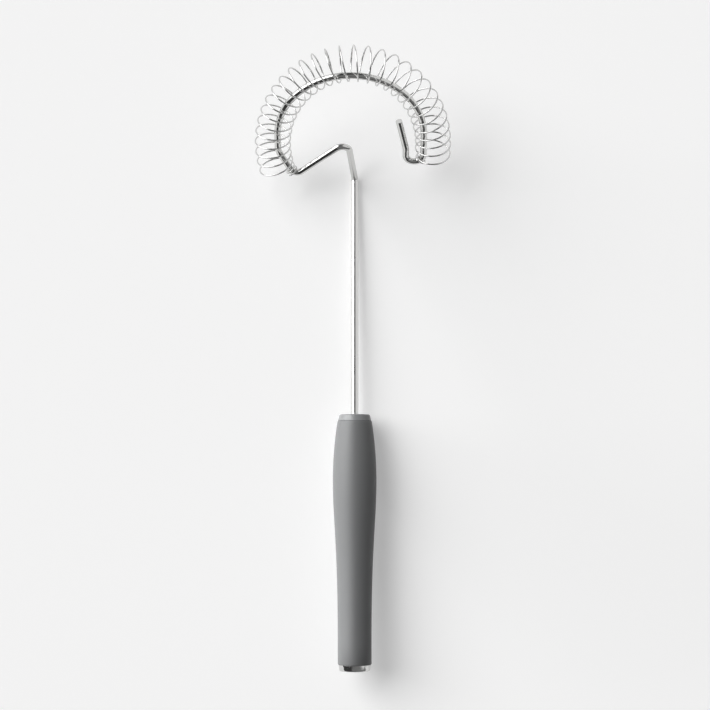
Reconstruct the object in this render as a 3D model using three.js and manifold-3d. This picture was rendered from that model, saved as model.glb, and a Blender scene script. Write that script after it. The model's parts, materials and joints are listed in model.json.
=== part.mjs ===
// Sauce whisk: a hoop of bent wire on a thin stem and a soft handle, and a spring coil strung on the hoop.
// Millimetres, +Z up. It lies on the belly of its grip and the mouth of its stem, with the head towards +Y.

import * as THREE from "three";
import { mergeVertices } from "three/addons/utils/BufferGeometryUtils.js";
import Module from "manifold-3d";

const wasm = await Module();
wasm.setup();

// Stem: a thin tube from the handle to the head
const stemLength = 105;
const stemDiameter = 3.4;
const stemWall = 0.4;
const stemBuried = 60;

// Head frame: one length of wire, bent in a plane that rises from the stem.
// Across runs to the right of the stem, reach runs up the plane from a point beside the stem's mouth.
const frameWire = 3;
const tangLength = 14;
const headAngle = 48;
const headLift = 5;
const neckRun = 0.3;
const mouthBend = 1.8;
const crookAcross = -3.1;
const crookReach = 27.3;
const crookBend = 3.9;
const heelAcross = -26.7;
const heelReach = 7.7;
const heelBend = 3.2;
const kneeReach = 21.8;
const kneeBend = 10;
const hoopRadius = 32.1;
const hoopAcross = -1.75;
const hoopReach = 30.6;
const hookReach = 15.8;
const hookWidth = 7.75;
const hookBend = 3.6;
const hookLegReach = 23;
const hookLegBend = 8;
const hookTipAcross = 19.3;
const hookTipReach = 38.2;

// Coil: spring wire wound right-handed, its middle line an ellipse that stands outside the hoop
const coilWire = 0.75;
const coilDiameter = 16.1;
const coilTurns = 28;
const coilShift = 1.4;
const coilSpread = 3.4;
const coilRise = 4.2;
const coilDrop = 6;
const coilLeftAngle = 196.2;
const coilRightAngle = -5.1;
const coilOpeningShare = 0.162;
const coilLeanShare = 0.008;
const coilSag = 3;
const eyeClearance = 0.55;
const eyePitch = 1.6;
const eyeTurns = 1.25;
const leadStart = 0.28;
const leadTurns = 0.4;
const leftEyeShare = 0.88;
const rightEyeShare = 0.52;

// Handle: a hard core with a collar at the front, a soft sleeve moulded over it and a metal cap behind
const collarLength = 2.8;
const collarFrontRadius = 6.8;
const collarBackRadius = 7.55;
const collarRound = 0.8;
const gripLength = 108.4;
const gripFrontRadius = 7.65;
const gripBellyRadius = 9.77;
const gripWaistRadius = 7.54;
const gripBellyPlace = 29.6;
const gripWaistRun = 9.7;
const gripWall = 2.2;
const gripEdgeRound = 0.25;
const bellyEaseShare = 0.25;
const waistEaseShare = 0.61;
const keyWidth = 4;
const keyDepth = 0.8;
const keyPlaceShares = [0.14, 0.5, 0.8];
const pinDiameter = 1.2;
const pinLength = 9;
const pinInset = 14;
const capLength = 2.6;
const capFrontRadius = 7.25;
const capBackRadius = 6.95;
const capEdgeRound = 0.9;
const capSpigotRadius = 3.2;
const capSpigotLength = 12;
const capBarbDepth = 0.35;
const capBarbCount = 2;

// Fits and cuts
const clearance = 0.3;
const overrun = 1;

// Facets
const wireSides = 10;
const wireStep = 1.5;
const coilSides = 5;
const curlSteps = 8;
const eyeSteps = 16;
const turnedSides = 32;
const stemSides = 16;
const curveSteps = 10;
const finerSteps = 4;

const steel = { color: 0xc9cbcd, metalness: 1, roughness: 0.16 };
const springSteel = { color: 0xd2d3d4, metalness: 1, roughness: 0.22 };
const satinSteel = { color: 0xc4c5c6, metalness: 1, roughness: 0.34 };
const hardPlastic = { color: 0x8d8f91, metalness: 0, roughness: 0.42 };
const softRubber = { color: 0x6b6d6f, metalness: 0, roughness: 0.78 };

function named(name, geometry, finish) {
  const mesh = new THREE.Mesh(geometry, new THREE.MeshStandardMaterial(finish));
  mesh.name = name;
  return mesh;
}

// Solids joined and cut

function toManifold(geometry) {
  const bare = geometry.clone();
  bare.deleteAttribute("normal");
  bare.deleteAttribute("uv");
  const merged = mergeVertices(bare, 1e-5);
  const kept = [];
  const index = merged.index.array;
  for (let i = 0; i < index.length; i += 3) {
    const [a, b, c] = [index[i], index[i + 1], index[i + 2]];
    if (a !== b && b !== c && c !== a) kept.push(a, b, c);
  }
  const vertProperties = Float32Array.from(merged.attributes.position.array);
  return new wasm.Manifold(new wasm.Mesh({ numProp: 3, vertProperties, triVerts: Uint32Array.from(kept) }));
}

function fromManifold(solid) {
  const mesh = solid.getMesh();
  const geometry = new THREE.BufferGeometry();
  geometry.setAttribute("position", new THREE.BufferAttribute(Float32Array.from(mesh.vertProperties), 3));
  geometry.setIndex(new THREE.BufferAttribute(Uint32Array.from(mesh.triVerts), 1));
  geometry.computeVertexNormals();
  return geometry;
}

// Turned solid on the stem's axis, from [radius, distance behind the front] points, the rearmost first
function turned(points, sides) {
  return new THREE.LatheGeometry(points.map(([radius, back]) => new THREE.Vector2(radius, -back)), sides);
}

// Rod of a given radius between two distances behind the front
function rod(radius, front, back, sides) {
  return turned([[0, back], [radius, back], [radius, front], [0, front]], sides);
}

// Bent wire: straight runs between corners, each corner rounded to its own bend radius
class BentWire extends THREE.Curve {
  constructor(corners, bends) {
    super();
    this.pieces = [];
    this.length = 0;
    let from = corners[0];
    for (let i = 1; i < corners.length - 1; i += 1) {
      const into = corners[i].clone().sub(corners[i - 1]).normalize();
      const out = corners[i + 1].clone().sub(corners[i]).normalize();
      const turn = into.angleTo(out);
      const radius = bends[i - 1];
      const set = radius * Math.tan(turn / 2);
      const start = corners[i].clone().addScaledVector(into, -set);
      const inward = out.clone().addScaledVector(into, -out.dot(into)).normalize();
      this.addRun(from, start);
      this.addBend(start, into, inward, radius, turn);
      from = corners[i].clone().addScaledVector(out, set);
    }
    this.addRun(from, corners[corners.length - 1]);
    this.arcLengthDivisions = 2000;
  }

  addRun(from, to) {
    const run = from.distanceTo(to);
    const along = to.clone().sub(from).normalize();
    this.pieces.push({ begin: this.length, span: run, at: (s) => from.clone().addScaledVector(along, s) });
    this.length += run;
  }

  addBend(start, into, inward, radius, turn) {
    const centre = start.clone().addScaledVector(inward, radius);
    const at = (s) => {
      const angle = s / radius;
      const point = centre.clone().addScaledVector(inward, -radius * Math.cos(angle));
      return point.addScaledVector(into, radius * Math.sin(angle));
    };
    this.pieces.push({ begin: this.length, span: radius * turn, at, bend: true });
    this.length += radius * turn;
  }

  // Distance along the wire to a share of the way round one bend
  intoBend(number, share) {
    const bend = this.pieces.filter((piece) => piece.bend)[number];
    return bend.begin + bend.span * share;
  }

  // Chord of the wire about a distance along it, as a middle point and a direction
  chord(distance, length) {
    const from = this.getPoint((distance - length / 2) / this.length);
    const to = this.getPoint((distance + length / 2) / this.length);
    return { centre: from.clone().lerp(to, 0.5), along: to.sub(from).normalize() };
  }

  getPoint(t, target = new THREE.Vector3()) {
    const s = t * this.length;
    const last = this.pieces[this.pieces.length - 1];
    const piece = this.pieces.find((one) => s <= one.begin + one.span) ?? last;
    return target.copy(piece.at(s - piece.begin));
  }
}

// Head frame

const headTurn = THREE.MathUtils.degToRad(headAngle);
const headAcross = new THREE.Vector3(1, 0, 0);
const headUp = new THREE.Vector3(0, Math.cos(headTurn), Math.sin(headTurn));
const headNormal = headAcross.clone().cross(headUp);
const headOrigin = headNormal.clone().multiplyScalar(headLift);

function onHead(across, reach) {
  return headOrigin.clone().addScaledVector(headAcross, across).addScaledVector(headUp, reach);
}

const stemRadius = stemDiameter / 2;
const stemBore = stemRadius - stemWall;
const wireRadius = frameWire / 2;
const tangRadius = stemBore - clearance;
const hoopLeft = hoopAcross - hoopRadius;
const hoopRight = hoopAcross + hoopRadius;
const hoopTop = hoopReach + hoopRadius;
const crook = onHead(crookAcross, crookReach);
const neckTurn = new THREE.Vector3(0, 1, 0).angleTo(crook);
const mouthCorner = clearance + neckRun + mouthBend * Math.tan(neckTurn / 2);

const frameCorners = [
  new THREE.Vector3(0, clearance, 0),
  new THREE.Vector3(0, mouthCorner, 0),
  crook,
  onHead(heelAcross, heelReach),
  onHead(hoopLeft, kneeReach),
  onHead(hoopLeft, hoopTop),
  onHead(hoopRight, hoopTop),
  onHead(hoopRight, hookReach),
  onHead(hoopRight - hookWidth, hookReach),
  onHead(hoopRight - hookWidth, hookLegReach),
  onHead(hookTipAcross, hookTipReach),
];
const frameBends = [
  mouthBend, crookBend, heelBend, kneeBend, hoopRadius, hoopRadius, hookBend, hookBend, hookLegBend,
];
const heelNumber = 2;
const hookNumber = 6;
const framePath = new BentWire(frameCorners, frameBends);

function wireSection(radius) {
  const section = new THREE.Shape();
  section.absarc(0, 0, radius, 0, 2 * Math.PI);
  return section;
}

function makeHeadFrame() {
  const bentWire = new THREE.ExtrudeGeometry(wireSection(wireRadius), {
    steps: Math.round(framePath.length / wireStep),
    extrudePath: framePath,
    curveSegments: wireSides / 2,
    bevelEnabled: false,
  });
  const tang = rod(tangRadius, -clearance - clearance, tangLength, wireSides);
  return fromManifold(toManifold(bentWire).add(toManifold(tang)));
}

// Coil

const coilRadius = (coilDiameter - coilWire) / 2;
const coilAcross = hoopAcross + coilShift;
const coilReach = hoopReach - coilDrop;
const coilHalfWidth = hoopRadius + coilSpread;
const coilHalfHeight = hoopRadius + coilRise + coilDrop;
const eyeRadius = wireRadius + eyeClearance + coilWire / 2;

// Middle line of the coil after a number of turns, with its direction and the way out from the hoop.
// The turns stand closer together at the two ends than over the top.
function coilMiddle(turn) {
  const done = turn / coilTurns;
  const opening = (coilOpeningShare * Math.sin(2 * Math.PI * done)) / (2 * Math.PI);
  const paced = done - opening - coilLeanShare * Math.sin(Math.PI * done) ** 2;
  const angle = THREE.MathUtils.degToRad(THREE.MathUtils.lerp(coilLeftAngle, coilRightAngle, paced));
  const across = coilHalfWidth * Math.cos(angle);
  const reach = coilHalfHeight * Math.sin(angle);
  const centre = onHead(coilAcross + across, coilReach + reach);
  const along = headAcross.clone().multiplyScalar(coilHalfWidth * Math.sin(angle));
  along.addScaledVector(headUp, -coilHalfHeight * Math.cos(angle)).normalize();
  return { centre, along };
}

// The eyes sit on the frame wire where the heel's bend ends and in the hook's outer bend
const eyeLength = eyeTurns * eyePitch;
const leftEye = framePath.chord(framePath.intoBend(heelNumber, leftEyeShare), eyeLength);
const rightEye = framePath.chord(framePath.intoBend(hookNumber, rightEyeShare), eyeLength);

function windPoint({ centre, along }, radius, turn) {
  const phase = 2 * Math.PI * turn;
  const outward = headNormal.clone().cross(along).normalize();
  const point = centre.clone().addScaledVector(outward, radius * Math.cos(phase));
  return point.addScaledVector(headNormal, radius * Math.sin(phase));
}

// A point of the spring wire: on the coil, on an eye, or on the lead between them.
// A lead closes in where the coil's inner side lies on the eye.
function coilPoint(turn) {
  const open = windPoint(coilMiddle(turn), coilRadius, turn);
  const past = Math.max(-turn, turn - coilTurns);
  if (past < leadStart) return open;
  const slide = (past - leadStart - leadTurns) * eyePitch - eyeLength / 2;
  const { centre, along } = turn < 0 ? leftEye : rightEye;
  const slid = centre.clone().addScaledVector(along, Math.sign(turn) * slide);
  const eye = windPoint({ centre: slid, along }, eyeRadius, turn);
  return open.lerp(eye, THREE.MathUtils.smoothstep(past - leadStart, 0, leadTurns));
}

// Turn numbers of the wire's points: fine steps on the eyes and leads, even steps on the curls
function coilTurnNumbers() {
  const endTurns = leadStart + leadTurns + eyeTurns;
  const endSteps = Math.round(endTurns * eyeSteps);
  const numbers = [];
  for (let i = 0; i < endSteps; i += 1) numbers.push(-endTurns * (1 - i / endSteps));
  for (let i = 0; i < coilTurns * curlSteps; i += 1) numbers.push(i / curlSteps);
  for (let i = 0; i <= endSteps; i += 1) numbers.push(coilTurns + (endTurns * i) / endSteps);
  return numbers;
}

// The wire's points, with a straight end one wire thick at each cut
function coilLine() {
  const points = coilTurnNumbers().map(coilPoint);
  const [first, second] = points;
  const [last, before] = [points[points.length - 1], points[points.length - 2]];
  const start = first.clone().addScaledVector(first.clone().sub(second).normalize(), coilWire);
  const end = last.clone().addScaledVector(last.clone().sub(before).normalize(), coilWire);
  return [start, ...points, end];
}

// Closed tube along a line of points, its section carried along without twist
function tubeAlong(points, radius, sides) {
  const position = [];
  const index = [];
  let side = new THREE.Vector3(0, 0, 1);
  points.forEach((point, i) => {
    const before = points[Math.max(i - 1, 0)];
    const after = points[Math.min(i + 1, points.length - 1)];
    const along = after.clone().sub(before).normalize();
    side = side.clone().addScaledVector(along, -side.dot(along)).normalize();
    const other = along.clone().cross(side);
    for (let j = 0; j < sides; j += 1) {
      const angle = (2 * Math.PI * j) / sides;
      const corner = point.clone().addScaledVector(side, radius * Math.cos(angle));
      position.push(...corner.addScaledVector(other, radius * Math.sin(angle)).toArray());
    }
  });
  const ring = (i, j) => i * sides + (j % sides);
  for (let i = 0; i < points.length - 1; i += 1) {
    for (let j = 0; j < sides; j += 1) {
      index.push(ring(i, j), ring(i, j + 1), ring(i + 1, j + 1));
      index.push(ring(i, j), ring(i + 1, j + 1), ring(i + 1, j));
    }
  }
  const last = points.length - 1;
  for (let j = 1; j < sides - 1; j += 1) {
    index.push(ring(0, 0), ring(0, j + 1), ring(0, j));
    index.push(ring(last, 0), ring(last, j), ring(last, j + 1));
  }
  const geometry = new THREE.BufferGeometry();
  geometry.setAttribute("position", new THREE.Float32BufferAttribute(position, 3));
  geometry.setIndex(index);
  geometry.computeVertexNormals();
  return geometry;
}

// The line with more points set evenly between its own
function betweenPoints(line) {
  const places = Array.from({ length: finerSteps }, (_, i) => i / finerSteps);
  return line.slice(0, -1).flatMap((point, i) => places.map((t) => point.clone().lerp(line[i + 1], t)));
}

// Least gap between two stretches of the wire that are more than half an eye's turn apart along it
function leastGap(points) {
  const reach = Math.PI * eyeRadius;
  const travelled = [0];
  for (let i = 1; i < points.length; i += 1) {
    travelled.push(travelled[i - 1] + points[i].distanceTo(points[i - 1]));
  }
  let least = Infinity;
  for (let i = 0; i < points.length; i += 1) {
    for (let j = i + 1; j < points.length; j += 1) {
      if (travelled[j] - travelled[i] > reach) least = Math.min(least, points[i].distanceTo(points[j]));
    }
  }
  return least - coilWire;
}

// The coil hangs from its two eyes, and rocks about the line between them
function makeCoil() {
  const line = coilLine();
  console.log(`least gap between turns of the coil: ${leastGap(betweenPoints(line)).toFixed(2)} mm`);
  const rockAxis = rightEye.centre.clone().sub(leftEye.centre).normalize();
  const fromEye = line.map((point) => point.clone().sub(leftEye.centre));
  const coil = named("whisk_coil", tubeAlong(fromEye, coilWire / 2, coilSides), springSteel);
  coil.position.copy(leftEye.centre);
  coil.quaternion.setFromAxisAngle(rockAxis, -THREE.MathUtils.degToRad(coilSag));
  return coil;
}

// Stem and handle, measured backwards from the front of the collar

function crossRod(radius, length, place) {
  const pin = new THREE.CylinderGeometry(radius, radius, length, stemSides);
  pin.rotateZ(Math.PI / 2);
  pin.translate(0, -place, 0);
  return pin;
}

const pinPlace = stemBuried - pinInset;
const pinHole = toManifold(crossRod(pinDiameter / 2 + clearance, pinLength + 2 * clearance, pinPlace));

function makeStemTube() {
  const tube = toManifold(rod(stemRadius, -stemLength, stemBuried, stemSides));
  const bore = toManifold(rod(stemBore, -stemLength - overrun, stemBuried + overrun, stemSides));
  return fromManifold(tube.subtract(bore).subtract(pinHole));
}

const gripBack = collarLength + gripLength;
const gripWaistPlace = gripBack - gripWaistRun;

// Outline of the grip, front to back, drawn in from its skin by a depth
function gripOutline(depth) {
  const belly = gripWaistPlace - gripBellyPlace;
  const rise = gripBellyPlace - collarLength;
  const path = new THREE.Path();
  path.moveTo(gripFrontRadius - depth, collarLength);
  path.quadraticCurveTo(
    gripBellyRadius - depth, collarLength + rise / 2,
    gripBellyRadius - depth, gripBellyPlace,
  );
  path.bezierCurveTo(
    gripBellyRadius - depth, gripBellyPlace + belly * bellyEaseShare,
    gripWaistRadius - depth, gripWaistPlace - belly * waistEaseShare,
    gripWaistRadius - depth, gripWaistPlace,
  );
  path.lineTo(gripWaistRadius - depth, gripBack);
  return path.getPoints(curveSteps).map((point) => [point.x, point.y]);
}

// The same outline with the key grooves let into it, for the core and for the sleeve's inside
function keyedOutline(depth, grow) {
  const keys = keyPlaceShares.map((share) => collarLength + gripLength * share);
  const points = gripOutline(depth);
  const radiusAt = (back) => {
    const i = Math.max(points.findIndex((point) => point[1] > back), 1);
    const [[r0, b0], [r1, b1]] = [points[i - 1], points[i]];
    return THREE.MathUtils.lerp(r0, r1, (back - b0) / (b1 - b0));
  };
  const half = keyWidth / 2;
  const cuts = keys.map((key) => [key - half - grow, key + half + grow]);
  const smooth = points.filter((point) => !cuts.some(([a, b]) => point[1] >= a && point[1] <= b));
  const walls = cuts.flatMap(([a, b]) => {
    const floor = Math.min(radiusAt(a), radiusAt(b)) - keyDepth;
    return [[radiusAt(a), a], [floor, a], [floor, b], [radiusAt(b), b]];
  });
  return [...smooth, ...walls].sort((p, q) => p[1] - q[1]);
}

function makeHandleCore() {
  const boreBack = stemBuried + clearance;
  const socketFront = gripBack - capSpigotLength - clearance;
  const socketRadius = capSpigotRadius + clearance;
  const boreRadius = stemRadius + clearance;
  const body = keyedOutline(gripWall + clearance, clearance);
  const roundShares = [1, 0.75, 0.5, 0.25, 0];
  const nose = roundShares.map((share) => {
    const angle = (share * Math.PI) / 2;
    return [
      collarFrontRadius - collarRound * (1 - Math.cos(angle)),
      collarRound * (1 - Math.sin(angle)),
    ];
  });
  const collarBack = collarLength - clearance;
  const outline = [
    [boreRadius, 0], ...nose, [collarBackRadius, collarBack], [body[0][0], collarBack], ...body,
    [socketRadius, gripBack], [socketRadius, socketFront], [0, socketFront],
    [0, boreBack], [boreRadius, boreBack], [boreRadius, 0],
  ];
  return fromManifold(toManifold(turned(outline.reverse(), turnedSides)).subtract(pinHole));
}

function makeGripSleeve() {
  const skin = gripOutline(0);
  skin[0] = [gripFrontRadius - gripEdgeRound, collarLength];
  skin.splice(1, 0, [gripFrontRadius, collarLength + gripEdgeRound]);
  const inside = keyedOutline(gripWall, 0);
  const outline = [...skin, ...inside.reverse(), skin[0]];
  return turned(outline.reverse(), turnedSides);
}

function makeEndCap() {
  const front = gripBack + clearance;
  const back = front + capLength;
  const barbPitch = capSpigotLength / (capBarbCount + 1);
  const spigotFront = gripBack - capSpigotLength;
  const shank = capSpigotRadius - capBarbDepth;
  const outline = [[0, spigotFront], [shank, spigotFront]];
  for (let i = 0; i < capBarbCount; i += 1) {
    const barb = spigotFront + barbPitch * (i + 1);
    outline.push([capSpigotRadius, barb], [shank, barb]);
  }
  outline.push([shank, front], [capFrontRadius, front]);
  for (let i = 0; i <= curveSteps / 2; i += 1) {
    const angle = (Math.PI * i) / curveSteps;
    outline.push([
      capBackRadius - capEdgeRound * (1 - Math.cos(angle)),
      back - capEdgeRound * (1 - Math.sin(angle)),
    ]);
  }
  outline.push([0, back]);
  return turned(outline.reverse(), turnedSides);
}

function makeHandle() {
  const handle = new THREE.Group();
  handle.position.set(0, -stemLength, 0);
  handle.add(named("stem_tube", makeStemTube(), satinSteel));
  handle.add(named("stem_pin", crossRod(pinDiameter / 2, pinLength, pinPlace), satinSteel));
  handle.add(named("handle_core", makeHandleCore(), hardPlastic));
  handle.add(named("grip_sleeve", makeGripSleeve(), softRubber));
  handle.add(named("end_cap", makeEndCap(), steel));
  return handle;
}

// Angle at which the whisk lies: the steepest line from the stem's mouth that touches the grip
function lieAngle() {
  const slopes = gripOutline(0).map(([radius, back]) => (radius - stemRadius) / (stemLength + back));
  return Math.atan(Math.max(...slopes));
}

// Whisk, laid on its grip and the mouth of its stem, then set down centred on the origin
function makeWhisk() {
  const whisk = new THREE.Group();
  whisk.add(named("head_frame", makeHeadFrame(), steel));
  whisk.add(makeCoil());
  whisk.add(makeHandle());
  whisk.rotation.x = -lieAngle();
  const box = new THREE.Box3().setFromObject(whisk, true);
  const centre = box.getCenter(new THREE.Vector3());
  whisk.position.set(-centre.x, -centre.y, -box.min.z);
  return whisk;
}

const part = new THREE.Group();
part.add(makeWhisk());

export default part;
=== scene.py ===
"""Looks of the sauce whisk: smooth wires, turned handle pieces, finishes, table, light and camera."""

import json
import logging
import math
from dataclasses import dataclass, replace
from enum import Enum
from typing import Sequence

import bmesh
import bpy
from mathutils import Matrix, Vector


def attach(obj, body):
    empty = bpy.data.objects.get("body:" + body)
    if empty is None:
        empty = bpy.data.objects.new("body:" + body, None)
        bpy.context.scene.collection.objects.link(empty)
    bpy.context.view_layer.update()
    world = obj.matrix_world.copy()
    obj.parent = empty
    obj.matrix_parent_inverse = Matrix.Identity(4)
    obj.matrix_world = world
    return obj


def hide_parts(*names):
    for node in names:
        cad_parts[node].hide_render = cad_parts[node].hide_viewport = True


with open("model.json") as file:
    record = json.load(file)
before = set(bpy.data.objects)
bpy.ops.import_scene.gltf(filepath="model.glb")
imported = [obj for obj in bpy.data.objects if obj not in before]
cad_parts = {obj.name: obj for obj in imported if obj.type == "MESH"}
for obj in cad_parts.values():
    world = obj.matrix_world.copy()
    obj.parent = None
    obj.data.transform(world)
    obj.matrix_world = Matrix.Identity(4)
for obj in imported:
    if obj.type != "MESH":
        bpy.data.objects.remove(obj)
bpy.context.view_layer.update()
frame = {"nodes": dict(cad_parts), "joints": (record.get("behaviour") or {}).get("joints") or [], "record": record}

LOG = logging.getLogger("whisk")

MM = 0.001
FULL_TURN = 2 * math.pi
WELD = 0.0005 * MM
ROUND_STEPS = 6
ACROSS = Vector((1.0, 0.0, 0.0))

Triple = tuple[float, float, float]
Outline = list[tuple[float, float]]
Sizes = dict[str, float | int | bpy.types.Material]


class Part(Enum):
    """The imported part's nodes that the pieces here stand for or dress."""

    COIL = "whisk_coil"
    HEAD = "head_frame"
    STEM = "stem_tube"
    PIN = "stem_pin"
    CORE = "handle_core"
    GRIP = "grip_sleeve"
    CAP = "end_cap"


class Slot(Enum):
    """The record's material slots."""

    SPRING = "spring_wire"
    WIRE = "polished_wire"
    TUBE = "satin_tube"
    CORE = "core_plastic"
    GRIP = "grip_rubber"
    CAP = "polished_cap"


class Body(Enum):
    """The bodies that the pieces ride on."""

    WHISK = "whisk"
    COIL = "coil"


class Term:
    """One value in a node tree, so that a rule reads as a formula."""

    def __init__(self, nodes: "Nodes", socket: bpy.types.NodeSocket) -> None:
        """Keep the tree and the socket that holds the value."""
        self.nodes = nodes
        self.socket = socket

    def __add__(self, other: "Term | float") -> "Term":
        """Sum of two values."""
        return self.nodes.math("ADD", self, other)

    def __sub__(self, other: "Term | float") -> "Term":
        """Difference of two values."""
        return self.nodes.math("SUBTRACT", self, other)

    def __mul__(self, other: "Term | float") -> "Term":
        """Product of two values."""
        return self.nodes.math("MULTIPLY", self, other)

    def __truediv__(self, other: "Term | float") -> "Term":
        """Quotient of two values."""
        return self.nodes.math("DIVIDE", self, other)

    def __neg__(self) -> "Term":
        """The value with its sign turned."""
        return self.nodes.math("MULTIPLY", self, -1.0)

    def sin(self) -> "Term":
        """Sine of an angle in radians."""
        return self.nodes.math("SINE", self)

    def cos(self) -> "Term":
        """Cosine of an angle in radians."""
        return self.nodes.math("COSINE", self)

    def at_least(self, other: "Term | float") -> "Term":
        """The larger of two values."""
        return self.nodes.math("MAXIMUM", self, other)

    def at_most(self, other: "Term | float") -> "Term":
        """The smaller of two values."""
        return self.nodes.math("MINIMUM", self, other)

    def towards(self, other: "Term", share: "Term") -> "Term":
        """The value part of the way to another, by a share from 0 to 1."""
        return self + (other - self) * share

    def eased(self) -> "Term":
        """The value held between 0 and 1, with a soft start and a soft end."""
        held = self.at_least(0.0).at_most(1.0)
        return held * held * (held * -2.0 + 3.0)


class Nodes:
    """A node tree, with short ways to add its nodes and to feed their inputs."""

    def __init__(self, tree: bpy.types.NodeTree) -> None:
        """Keep the tree."""
        self.tree = tree

    def node(self, kind: str, modes: dict[str, object] | None = None, **inputs: object) -> bpy.types.Node:
        """Add a node.

        Args:
            kind: Blender's name of the node.
            modes: Name and value of each of its settings.
            inputs: Name of each input, with spaces as underscores, and what it gets.

        Returns:
            The node.
        """
        node = self.tree.nodes.new(kind)
        for label, value in (modes or {}).items():
            setattr(node, label, value)
        return self.set(node, **inputs)

    def set(self, node: bpy.types.Node, **inputs: object) -> bpy.types.Node:
        """Feed the named inputs of a node.

        Args:
            node: The node.
            inputs: Name of each input, with spaces as underscores, and what it gets.

        Returns:
            The same node.
        """
        for label, value in inputs.items():
            self.feed(node.inputs[label.replace("_", " ")], value)
        return node

    def feed(self, inlet: bpy.types.NodeSocket, value: object) -> None:
        """Link a term or a socket to an input, or set the input's own value.

        Args:
            inlet: The input socket.
            value: A term, a socket or a plain value.
        """
        if isinstance(value, Term):
            value = value.socket
        if isinstance(value, bpy.types.NodeSocket):
            self.tree.links.new(value, inlet)
        else:
            inlet.default_value = value

    def math(self, operation: str, *terms: "Term | float") -> Term:
        """Join values by one operation.

        Args:
            operation: Name of the operation.
            terms: The values that it joins.

        Returns:
            The result as a value.
        """
        node = self.node("ShaderNodeMath", {"operation": operation})
        for inlet, term in zip(node.inputs, terms):
            self.feed(inlet, term)
        return Term(self, node.outputs[0])

    def blend(self, low: object, high: object, share: bpy.types.NodeSocket) -> bpy.types.NodeSocket:
        """Two colours, or their sockets, blended by the share of the second."""
        mix = self.node("ShaderNodeMix", {"data_type": "RGBA"}, A=low, B=high, Factor=share)
        return mix.outputs["Result"]

    def seen_directly(self) -> Term:
        """Find what the camera sees, straight, mirrored or through glass.

        Returns:
            A value that is 1 there and 0 elsewhere.
        """
        rays = self.node("ShaderNodeLightPath").outputs
        camera, mirrored, through = (Term(self, rays[f"Is {kind} Ray"])
                                     for kind in ("Camera", "Glossy", "Transmission"))
        return camera.at_least(mirrored).at_least(through)


class Rule(Nodes):
    """A Geometry Nodes tree whose named inputs are the sizes of the piece that it makes."""

    SOCKETS = {float: "NodeSocketFloat", int: "NodeSocketInt", bpy.types.Material: "NodeSocketMaterial"}

    def __init__(self, name: str, sizes: Sizes) -> None:
        """Make the tree and its inputs.

        Args:
            name: Name of the tree.
            sizes: Name and value of each input, whole numbers for counts.
        """
        super().__init__(bpy.data.node_groups.new(name, "GeometryNodeTree"))
        self.name = name
        interface = self.tree.interface
        interface.new_socket("Geometry", in_out="INPUT", socket_type="NodeSocketGeometry")
        interface.new_socket("Geometry", in_out="OUTPUT", socket_type="NodeSocketGeometry")
        self.settings = {}
        for label, value in sizes.items():
            item = interface.new_socket(label, in_out="INPUT", socket_type=self.SOCKETS[type(value)])
            self.settings[item.identifier] = value
        self.inlet = self.node("NodeGroupInput")

    def __getitem__(self, label: str) -> Term:
        """The named input as a value."""
        return Term(self, self.inlet.outputs[label])

    def index(self) -> Term:
        """Number of the point along the line."""
        return Term(self, self.node("GeometryNodeInputIndex").outputs[0])

    def sweep(self, curve: bpy.types.NodeSocket, radius: Term, sides: Term) -> bpy.types.NodeSocket:
        """Run a round section along a curve and close its ends.

        Args:
            curve: The curve to follow.
            radius: Radius of the section.
            sides: Number of sides of the section.

        Returns:
            The closed tube.
        """
        ring = self.node("GeometryNodeCurvePrimitiveCircle", Resolution=sides, Radius=radius)
        tube = self.node("GeometryNodeCurveToMesh", Curve=curve, Profile_Curve=ring.outputs["Curve"],
                         Fill_Caps=True)
        return tube.outputs["Mesh"]

    def finish(self, geometry: bpy.types.NodeSocket) -> None:
        """End the tree with real geometry in the material of the input Finish.

        Args:
            geometry: What the tree has made.
        """
        real = self.node("GeometryNodeRealizeInstances", Geometry=geometry)
        dressed = self.node("GeometryNodeSetMaterial", Geometry=real.outputs[0], Material=self["Finish"])
        self.node("NodeGroupOutput", Geometry=dressed.outputs[0])

    def make(self, base: bpy.types.Mesh | None = None) -> bpy.types.Mesh:
        """Run the tree once and keep what it makes.

        Args:
            base: The mesh that the tree starts from, if it needs one.

        Returns:
            The finished mesh, free of the tree.
        """
        holder = bpy.data.objects.new(self.name, base or bpy.data.meshes.new(self.name))
        bpy.context.scene.collection.objects.link(holder)
        modifier = holder.modifiers.new(self.name, "NODES")
        modifier.node_group = self.tree
        for identifier, value in self.settings.items():
            modifier[identifier] = value
        graph = bpy.context.evaluated_depsgraph_get()
        mesh = bpy.data.meshes.new_from_object(holder.evaluated_get(graph), depsgraph=graph)
        holder.modifiers.remove(modifier)
        bpy.data.objects.remove(holder)
        return mesh


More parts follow.
